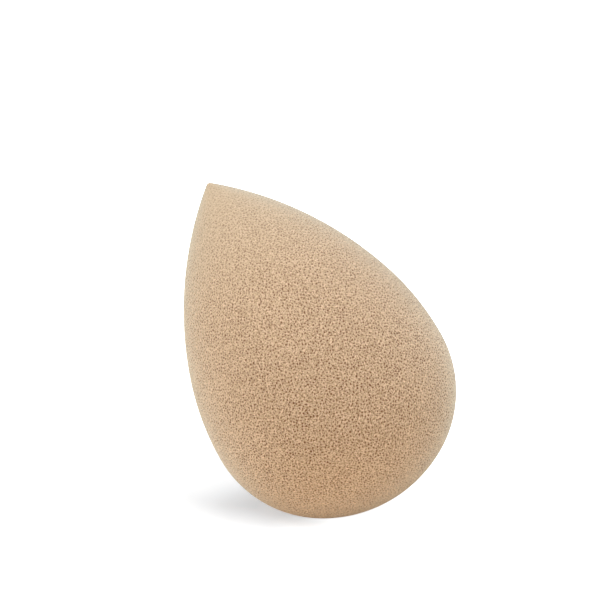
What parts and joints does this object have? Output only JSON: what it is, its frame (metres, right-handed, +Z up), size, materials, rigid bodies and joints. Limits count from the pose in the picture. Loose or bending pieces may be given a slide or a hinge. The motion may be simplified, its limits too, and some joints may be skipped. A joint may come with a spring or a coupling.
{
  "type": "makeup sponge",
  "caption": "Teardrop-shaped block of soft open-cell foam with a pointed tip and a full round end, for blending make-up on the skin.",
  "frame": {"origin": "middle of the small flat on the side of the round end, where the sponge stands", "axes": "+Z up, the sponge leans with its tip towards -X, and the XZ plane is its plane of symmetry"},
  "size_m": [0.0443, 0.0414, 0.0548],
  "materials": {
    "polyurethane_foam": "matte open-cell polyurethane foam, pale tan, with fine open pores"
  },
  "bodies": {
    "root": {"foam_sponge": "polyurethane_foam"}
  },
  "joints": []
}
